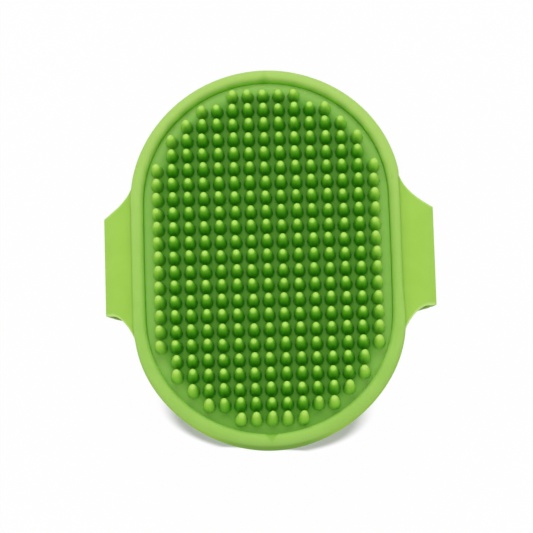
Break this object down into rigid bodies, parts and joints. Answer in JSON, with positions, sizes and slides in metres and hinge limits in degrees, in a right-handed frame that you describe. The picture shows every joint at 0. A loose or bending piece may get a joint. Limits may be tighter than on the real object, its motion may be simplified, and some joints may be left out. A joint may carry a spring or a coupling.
{
  "type": "grooming glove",
  "caption": "Oval rubber grooming glove: a pad of soft round-tipped nubs in a rounded rim, worn on the palm by a wide strap that folds round the hand and closes with studs.",
  "frame": {"origin": "centre of the part's bounding box in plan, on the ground plane that the closed strap rests on", "axes": "+Z is the way the nubs point, +Y runs along the long side of the oval, and the holed half of the strap leaves the -X side"},
  "size_m": [0.1056, 0.1274, 0.045],
  "materials": {
    "pad_rubber": "soft satin moulding",
    "rim_rubber": "soft satin moulding",
    "plate_plastic": "fine matt texture",
    "strap_rubber": "fine matt moulding",
    "stud_plastic": "satin moulding"
  },
  "bodies": {
    "pad": {"nub_pad": "pad_rubber", "rim_frame": "rim_rubber", "back_plate": "plate_plastic", "left_ear": "strap_rubber", "right_ear": "strap_rubber"},
    "holed_half": {"left_band": "strap_rubber"},
    "studded_half": {"right_band": "strap_rubber", "upper_stud": "stud_plastic", "lower_stud": "stud_plastic"}
  },
  "joints": [
    {"name": "holed_half_swing", "type": "hinge", "parent": "pad", "child": "holed_half", "pos_m": [-0.05215, 0, 0.03451], "axis": [0, 1, 0], "range_deg": [0, 136]},
    {"name": "studded_half_swing", "type": "hinge", "parent": "pad", "child": "studded_half", "pos_m": [0.05215, 0, 0.03451], "axis": [0, 1, 0], "range_deg": [0, 16.32]}
  ],
  "couplings": [
    {"joint": "studded_half_swing", "follows": "holed_half_swing", "ratio": 0.12}
  ]
}
